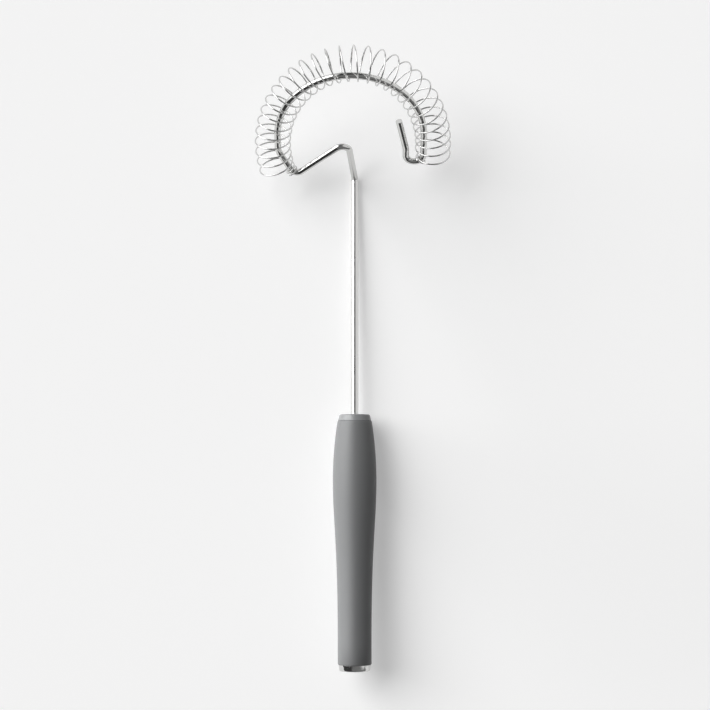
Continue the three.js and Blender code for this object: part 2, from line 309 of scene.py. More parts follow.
class Surface(Nodes):
    """A material's nodes and shader, with the noise that its finish is built from."""

    NOISE_RANGE = (0.3, 0.7)

    def __init__(self, name: str, colour: Triple, roughness: float) -> None:
        """Make a plain material.

        Args:
            name: Name of the material.
            colour: Its colour.
            roughness: Its roughness.
        """
        self.material = bpy.data.materials.new(name)
        self.material.use_nodes = True
        super().__init__(self.material.node_tree)
        self.colour = colour
        self.shader = self.tree.nodes["Principled BSDF"]
        self.set(self.shader, Base_Color=(*colour, 1.0), Roughness=roughness)

    def noise(self, scale: float, detail: float, stretch: Triple = (1.0, 1.0, 1.0),
              turn: float = 0.0) -> bpy.types.NodeSocket:
        """Noise fixed to the piece.

        Args:
            scale: How many grains there are to a metre.
            detail: How many finer layers are added.
            stretch: How much the grain is pressed together along each axis.
            turn: How far the grain is turned about the across axis.

        Returns:
            The noise, from 0 to 1.
        """
        place = self.node("ShaderNodeTexCoord").outputs["Object"]
        mapping = self.node("ShaderNodeMapping", Vector=place, Scale=stretch, Rotation=(turn, 0.0, 0.0))
        grain = self.node("ShaderNodeTexNoise", Vector=mapping.outputs["Vector"], Scale=scale, Detail=detail)
        return grain.outputs[0]

    def spread(self, value: bpy.types.NodeSocket, low: float, high: float) -> bpy.types.NodeSocket:
        """Stretch noise to run between two values.

        Args:
            value: Noise from 0 to 1.
            low: Value where the noise is low.
            high: Value where the noise is high.

        Returns:
            The stretched value.
        """
        start, end = self.NOISE_RANGE
        ramp = self.node("ShaderNodeMapRange", Value=value, From_Min=start, From_Max=end,
                         To_Min=low, To_Max=high)
        return ramp.outputs["Result"]

    def vary_gloss(self, value: bpy.types.NodeSocket, roughness: float, change: float) -> None:
        """Let noise move the roughness up and down by a change."""
        self.set(self.shader, Roughness=self.spread(value, roughness - change, roughness + change))

    def raise_grain(self, height: bpy.types.NodeSocket, depth: float, strength: float) -> None:
        """Let noise stand out of the surface, by a depth in metres and a strength from 0 to 1."""
        bump = self.node("ShaderNodeBump", Height=height, Distance=depth, Strength=strength)
        self.set(self.shader, Normal=bump.outputs["Normal"])

    def mottle(self, value: bpy.types.NodeSocket, change: float) -> None:
        """Let noise darken and lighten the colour by a share of it."""
        darker, lighter = ((*(c * share for c in self.colour), 1.0) for share in (1 - change, 1 + change))
        self.set(self.shader, Base_Color=self.blend(darker, lighter, value))


@dataclass(frozen=True)
class Finish:
    """A finish with the name, colour and gloss that its kind builds on."""

    name: str
    colour: Triple
    roughness: float

    def make(self) -> bpy.types.Material:
        """Build this finish.

        Returns:
            Its material.
        """
        surface = Surface(self.name, self.colour, self.roughness)
        self.dress(surface)
        return surface.material

    def dress(self, surface: Surface) -> None:
        """Add what this kind of finish has beyond its colour and gloss."""
        raise NotImplementedError


@dataclass(frozen=True)
class Steel(Finish):
    """Stainless steel: polished, bright drawn, satin or stamped, by its gloss, its grain and its stain."""

    unevenness: float = 0.03
    cloud_scale: float = 160.0
    cloud_detail: float = 3.0
    grain: Triple = (900.0, 900.0, 900.0)
    grain_turn: float = 0.0
    grain_detail: float = 2.0
    grain_depth: float = 0.002 * MM
    grain_strength: float = 0.2
    stain: float = 0.0

    def dress(self, surface: Surface) -> None:
        """Make it metal, with an uneven gloss, a fine grain and, where it has one, a stain.

        Args:
            surface: The material's nodes.
        """
        surface.set(surface.shader, Metallic=1.0)
        cloud = surface.noise(self.cloud_scale, self.cloud_detail)
        surface.vary_gloss(cloud, self.roughness, self.unevenness)
        lines = surface.noise(1.0, self.grain_detail, self.grain, self.grain_turn)
        surface.raise_grain(lines, self.grain_depth, self.grain_strength)
        if self.stain:
            surface.mottle(surface.spread(lines, 0.0, 1.0), self.stain)


@dataclass(frozen=True)
class Moulded(Finish):
    """Moulded grey plastic or rubber, with a fine grain from its mould."""

    gloss: float = 0.5
    grain_scale: float = 3500.0
    grain_depth: float = 0.03 * MM
    grain_strength: float = 0.25
    change: float = 0.04
    velvet: float = 0.0
    cloud_scale: float = 70.0
    cloud_detail: float = 5.0
    cloud_stretch: Triple = (1.0, 0.5, 1.0)
    gloss_scale: float = 420.0
    detail: float = 3.0

    def dress(self, surface: Surface) -> None:
        """Give it the mould's grain, a slight cloudiness and, on rubber, a velvet edge.

        Args:
            surface: The material's nodes.
        """
        surface.set(surface.shader, Specular_IOR_Level=self.gloss, Sheen_Weight=self.velvet)
        surface.mottle(surface.noise(self.cloud_scale, self.cloud_detail, self.cloud_stretch), self.change)
        surface.vary_gloss(surface.noise(self.gloss_scale, self.detail), self.roughness, self.change)
        grain = surface.noise(self.grain_scale, self.detail)
        surface.raise_grain(grain, self.grain_depth, self.grain_strength)


@dataclass(frozen=True)
class Lie:
    """Where the whisk lies: its own coordinates start at the stem's mouth, with Y towards the head."""

    mouth: Vector
    forward: Vector

    @classmethod
    def from_frame(cls, length: float) -> "Lie":
        """Find the whisk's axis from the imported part's end face.

        Args:
            length: Distance from the end face to the stem's mouth.

        Returns:
            The place of the whisk.
        """
        mount = next(m for m in frame["record"]["mounts"] if m["name"] == "cap_end_face")
        forward = -Vector(mount["axis"]).normalized()
        return cls(Vector(mount["pos_m"]) + forward * length, forward)

    @property
    def angle(self) -> float:
        """How far the whisk's axis dips from level."""
        return math.atan2(-self.forward.z, self.forward.y)

    def matrix(self) -> Matrix:
        """Turn the whisk's own coordinates into the shared frame."""
        turned = Matrix((ACROSS, self.forward, ACROSS.cross(self.forward))).transposed().to_4x4()
        return Matrix.Translation(self.mouth) @ turned


def add_piece(name: str, mesh: bpy.types.Mesh, node: Part, body: Body) -> None:
    """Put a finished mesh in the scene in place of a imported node.

    Args:
        name: Name of the piece.
        mesh: Its mesh, in the shared frame.
        node: The node that it stands for.
        body: The body that it rides on.
    """
    mesh.name = name
    piece = bpy.data.objects.new(name, mesh)
    bpy.context.scene.collection.objects.link(piece)
    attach(piece, body.value)
    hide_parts(node.value)
    LOG.info("%s: %d faces, for %s, on %s", name, len(mesh.polygons), node.value, body.value)


def settle(mesh: bpy.types.Mesh, place: Matrix, sharp: float) -> bpy.types.Mesh:
    """Move a mesh to its place, close its seams, turn its faces outwards and smooth it.

    Args:
        mesh: The mesh, in its own coordinates.
        place: From those coordinates to the shared frame.
        sharp: Edges that turn by more than this angle stay sharp.

    Returns:
        The same mesh.
    """
    shell = bmesh.new()
    shell.from_mesh(mesh)
    bmesh.ops.remove_doubles(shell, verts=shell.verts, dist=WELD)
    bmesh.ops.transform(shell, matrix=place, verts=shell.verts)
    bmesh.ops.recalc_face_normals(shell, faces=shell.faces)
    shell.to_mesh(mesh)
    shell.free()
    mesh.shade_smooth()
    mesh.set_sharp_from_angle(angle=sharp)
    return mesh


@dataclass(frozen=True)
class Bend:
    """The round of one corner of a bent wire, in the head's plane."""

    centre: Vector
    start: Vector
    turn: float

    @classmethod
    def at_corner(cls, before: Vector, corner: Vector, after: Vector, radius: float) -> "Bend":
        """Round a corner.

        Args:
            before: The corner before this one.
            corner: This corner.
            after: The corner after this one.
            radius: Bend radius of the wire's middle.

        Returns:
            The bend.
        """
        into = (corner - before).normalized()
        out = (after - corner).normalized()
        turn = into.angle_signed(out)
        inward = Vector((into.y, -into.x)) * math.copysign(radius, turn)
        centre = corner - into * (radius * math.tan(abs(turn) / 2)) + inward
        return cls(centre, -inward, turn)

    def point(self, angle: float) -> Vector:
        """The wire's middle after part of the turn, given as an angle."""
        return self.centre + Matrix.Rotation(-math.copysign(angle, self.turn), 2) @ self.start

    def chord(self, share: float, length: float) -> tuple[Vector, Vector]:
        """Chord of the wire about a share of the way round.

        Args:
            share: Share of the way round the bend.
            length: Length of wire that the chord spans.

        Returns:
            The chord's middle and its direction.
        """
        middle = abs(self.turn) * share
        half = length / 2 / self.start.length
        before, after = self.point(middle - half), self.point(middle + half)
        return (before + after) / 2, (after - before).normalized()


@dataclass
class HeadFrame:
    """One length of polished wire: neck, heel, hoop and hook, with a thinner tang in the stem."""

    angle: float = math.radians(48)
    lift: float = 5 * MM
    wire: float = 3 * MM
    tang_radius: float = 1 * MM
    tang_length: float = 14 * MM
    clearance: float = 0.3 * MM
    step_share: float = 0.25
    neck_run: float = 0.3 * MM
    mouth_bend: float = 1.8 * MM
    crook: tuple[float, float] = (-3.1 * MM, 27.3 * MM)
    crook_bend: float = 3.9 * MM
    heel: tuple[float, float] = (-26.7 * MM, 7.7 * MM)
    heel_bend: float = 3.2 * MM
    knee_reach: float = 21.8 * MM
    knee_bend: float = 10 * MM
    hoop_radius: float = 32.1 * MM
    hoop_across: float = -1.75 * MM
    hoop_reach: float = 30.6 * MM
    hook_reach: float = 15.8 * MM
    hook_width: float = 7.75 * MM
    hook_bend: float = 3.6 * MM
    hook_leg_reach: float = 23 * MM
    hook_leg_bend: float = 8 * MM
    hook_tip: tuple[float, float] = (19.3 * MM, 38.2 * MM)
    tip_round: float = 0.45 * MM
    tip_steps: int = 5
    sides: int = 40
    bend_steps: int = 40
    sharp: float = math.radians(50)

    def plane(self) -> Matrix:
        """Turn the head's plane, given as across, reach and height, into the whisk's coordinates."""
        return Matrix.Rotation(self.angle, 4, "X") @ Matrix.Translation((0.0, 0.0, self.lift))

    @property
    def left(self) -> float:
        """Place across of the hoop's left side."""
        return self.hoop_across - self.hoop_radius

    @property
    def right(self) -> float:
        """Place across of the hoop's right side."""
        return self.hoop_across + self.hoop_radius

    def flat_corners(self) -> list[tuple[Vector, float]]:
        """Lay out the corners in the head's plane, from the crook to the tip.

        Returns:
            Place and bend radius of each corner.
        """
        top = self.hoop_reach + self.hoop_radius
        leg = self.right - self.hook_width
        rows = [
            (self.crook, self.crook_bend),
            (self.heel, self.heel_bend),
            ((self.left, self.knee_reach), self.knee_bend),
            ((self.left, top), self.hoop_radius),
            ((self.right, top), self.hoop_radius),
            ((self.right, self.hook_reach), self.hook_bend),
            ((leg, self.hook_reach), self.hook_bend),
            ((leg, self.hook_leg_reach), self.hook_leg_bend),
            (self.hook_tip, 0.0),
        ]
        return [(Vector(place), bend) for place, bend in rows]

    def bend(self, number: int) -> Bend:
        """The bend at one of the flat corners."""
        (before, _), (corner, radius), (after, _) = self.flat_corners()[number - 1:number + 2]
        return Bend.at_corner(before, corner, after, radius)

    def path(self) -> list[tuple[Vector, float, float]]:
        """Lay out the whole wire, from the tang in the stem to the rounded tip.

        Returns:
            Place, bend radius and share of the full thickness of each corner.
        """
        thin = self.tang_radius / (self.wire / 2)
        flat = [(self.plane() @ place.to_3d(), bend) for place, bend in self.flat_corners()]
        turn = Vector((0.0, 1.0, 0.0)).angle(flat[0][0])
        mouth = self.clearance + self.neck_run + self.mouth_bend * math.tan(turn / 2)
        step = self.clearance * self.step_share
        rows = [
            (Vector((0.0, -self.tang_length, 0.0)), 0.0, thin),
            (Vector((0.0, self.clearance - step, 0.0)), 0.0, thin),
            (Vector((0.0, self.clearance, 0.0)), 0.0, 1.0 - self.tip_round / self.wire),
            (Vector((0.0, self.clearance + step, 0.0)), 0.0, 1.0),
            (Vector((0.0, mouth, 0.0)), self.mouth_bend, 1.0),
        ]
        rows += [(place, bend, 1.0) for place, bend in flat[:-1]]
        return rows + self.rounded_tip(flat[-2][0], flat[-1][0])

    def rounded_tip(self, before: Vector, tip: Vector) -> list[tuple[Vector, float, float]]:
        """Points that take the cut end's edge off.

        Args:
            before: The corner before the tip.
            tip: The tip.

        Returns:
            Points with no bend and a falling thickness.
        """
        back = (before - tip).normalized()
        edge = self.tip_round / (self.wire / 2)
        rows = []
        for step in range(self.tip_steps + 1):
            angle = math.pi / 2 * step / self.tip_steps
            place = tip + back * (self.tip_round * (1 - math.sin(angle)))
            rows.append((place, 0.0, 1 - edge * (1 - math.cos(angle))))
        return rows

    def build(self, lie: Lie, finish: bpy.types.Material) -> None:
        """Make the wire from its corners.

        Args:
            lie: Where the whisk lies.
            finish: The wire's material.
        """
        path = self.path()
        base = bpy.data.meshes.new("wire_corners")
        base.from_pydata([place for place, _, _ in path], [(i, i + 1) for i in range(len(path) - 1)], [])
        for label, column in (("bend", 1), ("girth", 2)):
            values = base.attributes.new(label, "FLOAT", "POINT").data
            values.foreach_set("value", [row[column] for row in path])
        rule = Rule("bend_wire", {"Radius": self.wire / 2, "Sides": self.sides, "Steps": self.bend_steps,
                                  "Finish": finish})
        bend, girth = (rule.node("GeometryNodeInputNamedAttribute", Name=label).outputs["Attribute"]
                       for label in ("bend", "girth"))
        line = rule.node("GeometryNodeMeshToCurve", Mesh=rule.inlet.outputs["Geometry"]).outputs[0]
        rounded = rule.node("GeometryNodeFilletCurve", {"mode": "POLY"}, Curve=line, Radius=bend,
                            Count=rule["Steps"])
        thick = rule.node("GeometryNodeSetCurveRadius", Curve=rounded.outputs[0], Radius=girth)
        rule.finish(rule.sweep(thick.outputs[0], rule["Radius"], rule["Sides"]))
        mesh = settle(rule.make(base), lie.matrix(), self.sharp)
        add_piece("bent_wire", mesh, Part.HEAD, Body.WHISK)


@dataclass
class Coil:
    """The spring: open curls along an ellipse outside the hoop, and an eye round the wire at each end."""

    wire: float = 0.7 * MM
    diameter: float = 16.1 * MM
    turns: float = 28.0
    shift: float = 1.0 * MM
    spread: float = 3.2 * MM
    rise: float = 4.45 * MM
    drop: float = 6 * MM
    left_angle: float = math.radians(196.2)
    right_angle: float = math.radians(-5.1)
    opening_share: float = 0.162
    lean_share: float = 0.008
    left_share: float = 0.0056
    right_share: float = 0.0165
    sag: float = math.radians(3)
    eye_clearance: float = 0.55 * MM
    eye_pitch: float = 1.6 * MM
    eye_turns: float = 1.25
    lead_start: float = 0.28
    lead_turns: float = 0.4
    heel_share: float = 0.88
    hook_share: float = 0.52
    heel_number: int = 1
    hook_number: int = 5
    steps: int = 48
    sides: int = 14
    sharp: float = math.radians(60)

    def sizes(self, head: HeadFrame, finish: bpy.types.Material) -> Sizes:
        """Named inputs of the winding rule.

        Args:
            head: The wire that the coil hangs on.
            finish: The spring's material.

        Returns:
            Name and value of each input.
        """
        seats = {}
        ends = ("Left", self.heel_number, self.heel_share), ("Right", self.hook_number, self.hook_share)
        for side, number, share in ends:
            place, way = head.bend(number).chord(share, self.eye_turns * self.eye_pitch)
            seats |= {f"{side} across": place.x, f"{side} reach": place.y,
                      f"{side} way across": way.x, f"{side} way reach": way.y}
        return seats | {
            "Turns": self.turns, "Steps": float(self.steps), "Sides": self.sides,
            "Wire radius": self.wire / 2, "Curl radius": (self.diameter - self.wire) / 2,
            "Centre across": head.hoop_across + self.shift, "Centre reach": head.hoop_reach - self.drop,
            "Half width": head.hoop_radius + self.spread,
            "Half height": head.hoop_radius + self.rise + self.drop,
            "Left angle": self.left_angle, "Right angle": self.right_angle,
            "Opening": self.opening_share, "Lean": self.lean_share,
            "Left lead": self.left_share, "Right lead": self.right_share,
            "Lead start": self.lead_start, "Lead turns": self.lead_turns,
            "Eye radius": head.wire / 2 + self.eye_clearance + self.wire / 2,
            "Eye pitch": self.eye_pitch, "Eye turns": self.eye_turns,
            "Finish": finish,
        }

    def winding(self, rule: Rule) -> tuple[Term, Term, Term, Term]:
        """Place of a point of the wire by its number, in the head's plane.

        Args:
            rule: The tree that holds the sizes.

        Returns:
            The point's place across, its reach, its height, and the number of points.
        """
        # The curls, paced along the ellipse so that they open at the top and close at the sides
        ends = rule["Lead start"] + rule["Lead turns"] + rule["Eye turns"]
        turn = rule.index() / rule["Steps"] - ends
        phase = turn * FULL_TURN
        done = turn / rule["Turns"]
        half_way, wave = (done * math.pi).sin(), (done * FULL_TURN).sin()
        on_left, on_right = wave.at_least(0.0), (-wave).at_least(0.0)
        paced = done - wave * rule["Opening"] / FULL_TURN - half_way * half_way * rule["Lean"]
        paced = paced + on_left * on_left * rule["Left lead"]
        paced = paced + on_right * on_right * (-half_way + 1.0) * rule["Right lead"]
        angle = rule["Left angle"].towards(rule["Right angle"], paced)
        way_across = rule["Half width"] * angle.sin()
        way_reach = -(rule["Half height"] * angle.cos())
        length = rule.math("SQRT", way_across * way_across + way_reach * way_reach)
        across = rule["Centre across"] + rule["Half width"] * angle.cos()
        reach = rule["Centre reach"] + rule["Half height"] * angle.sin()
        out = rule["Curl radius"] * phase.cos()
        curl = (across - way_reach / length * out, reach + way_across / length * out,
                rule["Curl radius"] * phase.sin())

        # The eyes, wound along the wire at either end, and the lead from the curls to them
        past = (-turn).at_least(turn - rule["Turns"])
        at_right = rule.math("GREATER_THAN", turn, 0.0)
        slide = (past - rule["Lead start"] - rule["Lead turns"] - rule["Eye turns"] / 2.0) * rule["Eye pitch"]
        slide = slide * (at_right * 2.0 - 1.0)
        seat = [rule[f"Left {word}"].towards(rule[f"Right {word}"], at_right)
                for word in ("across", "reach", "way across", "way reach")]
        eye_out = rule["Eye radius"] * phase.cos()
        eye = (seat[0] + seat[2] * slide - seat[3] * eye_out, seat[1] + seat[3] * slide + seat[2] * eye_out,
               rule["Eye radius"] * phase.sin())
        share = ((past - rule["Lead start"]) / rule["Lead turns"]).eased()
        place = [a.towards(b, share) for a, b in zip(curl, eye)]
        count = (rule["Turns"] + ends * 2.0) * rule["Steps"] + 1.0
        return (*place, count)

    def build(self, head: HeadFrame, lie: Lie, finish: bpy.types.Material) -> None:
        """Wind the coil and hang it from its two eyes.

        Args:
            head: The wire that the coil hangs on.
            lie: Where the whisk lies.
            finish: The spring's material.
        """
        rule = Rule("wind_coil", self.sizes(head, finish))
        *place, count = self.winding(rule)
        line = rule.node("GeometryNodeMeshLine", Count=count).outputs[0]
        spot = rule.node("ShaderNodeCombineXYZ", X=place[0], Y=place[1], Z=place[2]).outputs[0]
        curve = rule.node("GeometryNodeMeshToCurve", Mesh=line).outputs[0]
        wound = rule.node("GeometryNodeSetPosition", Geometry=curve, Position=spot).outputs[0]
        rule.finish(rule.sweep(wound, rule["Wire radius"], rule["Sides"]))
        joint = next(j for j in frame["joints"] if j["name"] == "coil_rock")
        pivot = Matrix.Translation(joint["pos_m"])
        hang = pivot @ Matrix.Rotation(-self.sag, 4, Vector(joint["axis"])) @ pivot.inverted()
        mesh = settle(rule.make(), hang @ lie.matrix() @ head.plane(), self.sharp)
        add_piece("spring_coil", mesh, Part.COIL, Body.COIL)


def curve_points(controls: Sequence[tuple[float, float]], steps: int) -> Outline:
    """Points of a Bezier curve of any order.

    Args:
        controls: The curve's control points.
        steps: Number of steps along it.

    Returns:
        The points, ends included.
    """
    order = len(controls) - 1
    points = []
    for step in range(steps + 1):
        t = step / steps
        weights = [math.comb(order, k) * t**k * (1 - t) ** (order - k) for k in range(order + 1)]
        points.append(tuple(sum(w * c[axis] for w, c in zip(weights, controls)) for axis in (0, 1)))
    return points


def soften(corners: Sequence[tuple[float, float, float]], steps: int = ROUND_STEPS,
           closed: bool = True) -> Outline:
    """Round the corners of an outline.

    Args:
        corners: Radius, distance behind the collar's front, and edge round of each corner.
        steps: Steps in each round.
        closed: Whether the outline closes on itself.

    Returns:
        The outline's points.
    """
    points = []
    count = len(corners)
    for i, (x, y, size) in enumerate(corners):
        if size == 0 or (not closed and i in (0, count - 1)):
            points.append((x, y))
            continue
        here = Vector((x, y))
        to_last = Vector(corners[i - 1][:2]) - here
        to_next = Vector(corners[(i + 1) % count][:2]) - here
        reach = min(size, to_last.length / 2, to_next.length / 2)
        first = here + to_last.normalized() * reach
        last = here + to_next.normalized() * reach
        points += curve_points([tuple(first), (x, y), tuple(last)], steps)
    return points


@dataclass
class Handle:
    """Stem, hard core with its collar, moulded grip and metal cap, all turned on the stem's axis."""

    clearance: float = 0.3 * MM
    seam: float = 0.01 * MM
    stem_length: float = 105 * MM
    stem_radius: float = 1.7 * MM
    stem_wall: float = 0.4 * MM
    stem_buried: float = 60 * MM
    stem_round: float = 0.12 * MM
    collar_length: float = 2.8 * MM
    collar_front: float = 6.8 * MM
    collar_back: float = 7.55 * MM
    collar_round: float = 0.8 * MM
    collar_rim: float = 0.05 * MM
    lip_rise: float = 0.22 * MM
    lip_run: float = 0.4 * MM
    grip_length: float = 108.4 * MM
    grip_front: float = 7.65 * MM
    grip_belly: float = 9.77 * MM
    grip_waist: float = 7.54 * MM
    belly_place: float = 29.6 * MM
    waist_run: float = 9.7 * MM
    grip_wall: float = 2.2 * MM
    grip_round: float = 0.35 * MM
    rim_shares: tuple[float, float] = (0.3, 0.25)
    belly_ease_share: float = 0.25
    waist_ease_share: float = 0.61
    key_width: float = 4 * MM
    key_depth: float = 0.8 * MM
    key_place_shares: tuple[float, ...] = (0.14, 0.5, 0.8)
    cap_length: float = 2.6 * MM
    cap_front: float = 7.25 * MM
    cap_back: float = 6.95 * MM
    cap_round: float = 0.9 * MM
    spigot_radius: float = 3.2 * MM
    spigot_length: float = 12 * MM
    barb_depth: float = 0.35 * MM
    barb_shares: tuple[float, ...] = (1 / 3, 2 / 3)
    segments: int = 160
    curve_steps: int = 40
    cap_steps: int = 10
    sharp: float = math.radians(40)

    @property
    def grip_back(self) -> float:
        """Distance from the collar's front to the grip's back."""
        return self.collar_length + self.grip_length

    @property
    def length(self) -> float:
        """Distance from the stem's mouth to the end face."""
        return self.stem_length + self.grip_back + self.clearance + self.cap_length

    def skin(self, depth: float) -> Outline:
        """The grip's outline, front to back.

        Args:
            depth: How far it is drawn in.

        Returns:
            The outline's points.
        """
        front, belly, waist = (r - depth for r in (self.grip_front, self.grip_belly, self.grip_waist))
        top = self.belly_place
        low = self.grip_back - self.waist_run
        swell = (self.collar_length + top) / 2
        rise = curve_points([(front, self.collar_length), (belly, swell), (belly, top)], self.curve_steps)
        ease = (low - top) * self.belly_ease_share, (low - top) * self.waist_ease_share
        fall = curve_points([(belly, top), (belly, top + ease[0]), (waist, low - ease[1]), (waist, low)],
                            self.curve_steps)
        return rise + fall[1:] + [(waist, self.grip_back)]

    def keyed(self, depth: float, grow: float) -> Outline:
        """The grip's outline drawn in to where core and sleeve meet, with the grooves that key them.

        Args:
            depth: How far it is drawn in.
            grow: How much wider each groove is on both sides.

        Returns:
            The outline's points.
        """
        points = self.skin(depth)

        def radius_at(back: float) -> float:
            """Read the drawn-in outline.

            Args:
                back: Distance behind the collar's front.

            Returns:
                The radius there.
            """
            i = next(k for k, point in enumerate(points) if k and point[1] > back)
            (r0, b0), (r1, b1) = points[i - 1], points[i]
            return r0 + (r1 - r0) * (back - b0) / (b1 - b0)

        half = self.key_width / 2 + grow
        places = [self.collar_length + self.grip_length * share for share in self.key_place_shares]
        kept = [p for p in points if all(abs(p[1] - place) > half for place in places)]
        for place in places:
            first, last = place - half, place + half
            floor = min(radius_at(first), radius_at(last)) - self.key_depth
            kept += [(radius_at(first), first), (floor, first), (floor, last), (radius_at(last), last)]
        return sorted(kept, key=lambda point: point[1])

    def turn(self, outline: Outline, closed: bool) -> bpy.types.Mesh:
        """Turn an outline about the stem's axis.

        Args:
            outline: Radius and distance behind the collar's front of each point.
            closed: Whether the outline closes on itself; otherwise it starts and ends on the axis.

        Returns:
            The mesh, in the whisk's own coordinates.
        """
        points, faces, rings = [], [], []
        for radius, back in outline:
            around = self.segments if radius > 0 else 1
            rings.append(list(range(len(points), len(points) + around)))
            for k in range(around):
                angle = FULL_TURN * k / self.segments
                points.append((radius * math.sin(angle), -self.stem_length - back, radius * math.cos(angle)))
        pairs = list(zip(rings, rings[1:])) + ([(rings[-1], rings[0])] if closed else [])
        for a, b in pairs:
            for k in range(self.segments):
                n = (k + 1) % self.segments
                quad = [a[k % len(a)], a[n % len(a)], b[n % len(b)], b[k % len(b)]]
                faces.append(list(dict.fromkeys(quad)))
        mesh = bpy.data.meshes.new("turned")
        mesh.from_pydata(points, [], [face for face in faces if len(face) > 2])
        return mesh

    def stem(self) -> Outline:
        """Draw the stem's wall, with the edges of its mouth taken off.

        Returns:
            The outline's points.
        """
        bore = self.stem_radius - self.stem_wall
        front, back, edge = -self.stem_length, self.stem_buried, self.stem_round
        return soften([(bore, front, edge), (self.stem_radius, front, edge), (self.stem_radius, back, edge),
                       (bore, back, edge)])

    def core(self) -> Outline:
        """Draw the core, from the stem's bore over the collar to the socket for the cap.

        Returns:
            The outline's points.
        """
        bore = self.stem_radius + self.seam
        socket = self.spigot_radius + self.clearance
        socket_front = self.grip_back - self.spigot_length - self.clearance
        shoulder = self.collar_length - self.seam
        body = self.keyed(self.grip_wall + self.clearance, self.clearance)
        collar = soften([(bore, 0.0, 0.0), (self.collar_front, 0.0, self.collar_round),
                         (self.collar_back - self.lip_rise, shoulder - self.lip_run, 0.0),
                         (self.collar_back, shoulder, self.collar_rim), (body[0][0], shoulder, 0.0)],
                        closed=False)
        rest = [(socket, self.grip_back), (socket, socket_front), (0.0, socket_front),
                (0.0, self.stem_buried + self.clearance), (bore, self.stem_buried + self.clearance)]
        return collar + body[1:] + rest

    def sleeve(self) -> Outline:
        """Draw the sleeve: its skin, with rounded rims, and its keyed inside.

        Returns:
            The outline's points.
        """
        skin = self.skin(0.0)
        edge = self.grip_round
        inset, run = (edge * share for share in self.rim_shares)
        (front, start), (back, end) = skin[0], skin[-1]
        first = curve_points([(front - edge, start), (front - inset, start + run), (front, start + edge)],
                             ROUND_STEPS)
        last = curve_points([(back, end - edge), (back - inset, end - run), (back - edge, end)], ROUND_STEPS)
        middle = [point for point in skin if start + edge < point[1] < end - edge]
        return first + middle + last + self.keyed(self.grip_wall, 0.0)[::-1]

    def cap(self) -> Outline:
        """Draw the cap: barbed spigot, disc and rounded rim.

        Returns:
            The outline's points.
        """
        front = self.grip_back + self.seam
        back = self.grip_back + self.clearance + self.cap_length
        tip = self.grip_back - self.spigot_length
        shank = self.spigot_radius - self.barb_depth
        spigot = [(0.0, tip, 0.0), (shank, tip, 0.0)]
        for share in self.barb_shares:
            at = tip + self.spigot_length * share
            spigot += [(self.spigot_radius, at, 0.0), (shank, at, 0.0)]
        disc = [(shank, front, 0.0), (self.cap_front, front, self.collar_rim),
                (self.cap_back, back, self.cap_round), (0.0, back, 0.0)]
        return soften(spigot + disc, self.cap_steps, closed=False)

    def build(self, lie: Lie, finishes: dict[Slot, bpy.types.Material]) -> None:
        """Make the stem, the core, the grip and the cap, and dress the hidden pin.

        Args:
            lie: Where the whisk lies.
            finishes: The material of each slot.
        """
        rows = [
            ("stem", self.stem(), True, Part.STEM, Slot.TUBE),
            ("collar_core", self.core(), True, Part.CORE, Slot.CORE),
            ("soft_grip", self.sleeve(), True, Part.GRIP, Slot.GRIP),
            ("metal_cap", self.cap(), False, Part.CAP, Slot.CAP),
        ]
        for name, outline, closed, node, slot in rows:
            mesh = settle(self.turn(outline, closed), lie.matrix(), self.sharp)
            mesh.materials.append(finishes[slot])
            add_piece(name, mesh, node, Body.WHISK)
        pin = frame["nodes"][Part.PIN.value]
        pin.data.materials.clear()
        pin.data.materials.append(finishes[Slot.TUBE])


@dataclass(frozen=True)
class Patch:
    """A soft patch of the room that metal shows, faded in between two cosines of the angle from its way."""

    name: str
    level: float
    way: Triple
    edges: tuple[float, float]


@dataclass(frozen=True)
class Lamp:
    """A soft box that faces the whisk; its level is that of a white card turned to it."""

    name: str
    azimuth: float
    elevation: float
    width: float
    height: float
    level: float
    distance: float = 30.0

    @property
    def way(self) -> Vector:
        """Direction of the lamp; the azimuth turns from the left towards the head."""
        level = Vector((-math.cos(self.azimuth), math.sin(self.azimuth), 0.0)) * math.cos(self.elevation)
        return level + Vector((0.0, 0.0, math.sin(self.elevation)))

    def hang(self) -> None:
        """Put the lamp up, out of sight of polished metal, which sees the room's patches instead."""
        lamp = bpy.data.lights.new(self.name, "AREA")
        lamp.shape = "RECTANGLE"
        lamp.size, lamp.size_y = self.width, self.height
        lamp.energy = self.level * (math.pi * self.distance) ** 2
        light = bpy.data.objects.new(self.name, lamp)
        light.location = self.way * self.distance
        light.rotation_euler = self.way.to_track_quat("Z", "Y").to_euler()
        light.visible_glossy = False
        bpy.context.scene.collection.objects.link(light)


